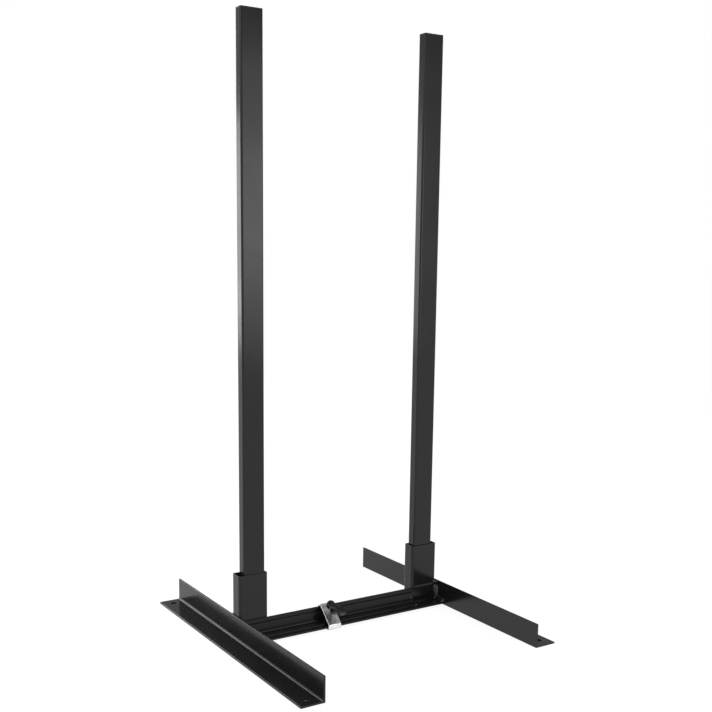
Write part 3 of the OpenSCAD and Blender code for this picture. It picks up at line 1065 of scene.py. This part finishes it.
def seen_directly(tree):
    path = put(tree, "ShaderNodeLightPath").outputs
    seen = math_node(tree, "MAXIMUM", path["Is Camera Ray"], path["Is Glossy Ray"])
    return math_node(tree, "MAXIMUM", seen, path["Is Transmission Ray"])


def two_faced(tree, lighting, shown, output):
    faces = {0: seen_directly(tree), 1: lighting.outputs[0], 2: shown.outputs[0]}
    mix = put(tree, "ShaderNodeMixShader", faces)
    tree.links.new(mix.outputs[0], tree.nodes[output].inputs["Surface"])


floor_finish, tree, shader = new_finish("pale_floor")
tree.nodes.remove(shader)
lit = math_node(tree, "SUBTRACT", 1.0, hole_shade(tree))
strength = math_node(tree, "MULTIPLY", lit, SHOWN_GLOW)
glow = put(tree, "ShaderNodeEmission", {"Color": WHITE, "Strength": strength})
veil = put(tree, "ShaderNodeBsdfDiffuse", {"Color": VEIL_PALE})
shown = put(tree, "ShaderNodeAddShader", {0: glow.outputs[0], 1: veil.outputs[0]})
plain = put(tree, "ShaderNodeBsdfDiffuse", {"Color": FLOOR_PALE})
two_faced(tree, plain, shown, "Material Output")
mesh = bmesh.new()
bmesh.ops.create_grid(mesh, x_segments=1, y_segments=1, size=FLOOR_SIZE / 2)
floor_mesh = bpy.data.meshes.new("studio_floor")
mesh.to_mesh(floor_mesh)
mesh.free()
floor = bpy.data.objects.new("studio_floor", floor_mesh)
floor.location.z = -FLOOR_DROP
bpy.context.scene.collection.objects.link(floor)
dress(floor, floor_finish)
print("floor", FLOOR_SIZE, "m wide")

# %% [markdown]
# ## World
# The world has two faces as well: an even fill light, and a white that the camera sees. A room
# that is white all round would wash the paint out, so mirror images see the white only near the
# horizon and a greyer ceiling above it.

# %% World
WORLD_FILL = 0.55
CEILING_FROM, CEILING_TO = 0.06, 0.28
CEILING_GREY = 0.36

world = bpy.data.worlds.new("studio")
world.use_nodes = True
bpy.context.scene.world = world
tree = world.node_tree
fill = tree.nodes["Background"]
fill.inputs["Color"].default_value = WHITE
fill.inputs["Strength"].default_value = WORLD_FILL
direction = put(tree, "ShaderNodeTexCoord").outputs["Generated"]
rise = put(tree, "ShaderNodeSeparateXYZ", {0: direction}).outputs["Z"]
mirrored = remap(tree, rise, CEILING_FROM, CEILING_TO, 1.0, CEILING_GREY)
from_camera = put(tree, "ShaderNodeLightPath").outputs["Is Camera Ray"]
strength = math_node(tree, "MAXIMUM", mirrored, from_camera)
shown = put(tree, "ShaderNodeBackground", {"Color": WHITE, "Strength": strength})
two_faced(tree, fill, shown, "World Output")
print("world fill", WORLD_FILL, "ceiling", CEILING_GREY)

# %% [markdown]
# ## Lamps
# The gloss of the paint shows where the lamps stood. The wide face of the left upright mirrors
# a soft box to the right of the camera at half its height, with a brighter core, and the narrow
# faces mirror one far to the left behind the stand. A third, large and square, hangs high
# behind: a rounded root mirrors it as a thin line, and its size keeps that line whole along the
# foot. A fourth on the left catches the edge of the strap, the knob and the ripples of the
# welds. A lamp is usually set by its power, but here each is given by its brightness, since that
# is what a mirror image shows; the power follows from brightness and area.

# %% Soft boxes
FRONT_AIM = (-0.17, 0.02, 0.67)
POSTS_AIM = (0.0, 0.03, 0.60)
LEFT_FOOT_AIM = (-0.2, 0.0, 0.1)
CLAMP_AIM = (-0.04, 0.0, 0.03)


def soft_box(name, spot, aim, size, brightness):
    width, height = size
    lamp = bpy.data.lights.new(name, "AREA")
    lamp.shape = "RECTANGLE"
    lamp.size, lamp.size_y = size
    lamp.energy = brightness * math.pi * width * height
    holder = bpy.data.objects.new(name, lamp)
    holder.location = spot
    holder.rotation_euler = (Vector(aim) - Vector(spot)).to_track_quat("-Z", "Y").to_euler()
    holder.visible_camera = False
    bpy.context.scene.collection.objects.link(holder)
    print("lamp:", name, "%.1f W" % lamp.energy)


soft_box("front_box", (0.71, -1.67, 0.79), FRONT_AIM, size=(0.9, 0.97), brightness=1.55)
soft_box("front_core", (0.66, -1.57, 0.735), FRONT_AIM, size=(0.8, 0.42), brightness=1.9)
soft_box("back_box", (-2.77, 4.88, 0.76), POSTS_AIM, size=(1.0, 1.46), brightness=4.4)
soft_box("high_back_box", (-0.35, 2.7, 1.9), LEFT_FOOT_AIM, size=(1.3, 1.3), brightness=5.0)
soft_box("left_box", (-2.0, -0.35, 1.5), CLAMP_AIM, size=(1.1, 0.9), brightness=2.6)
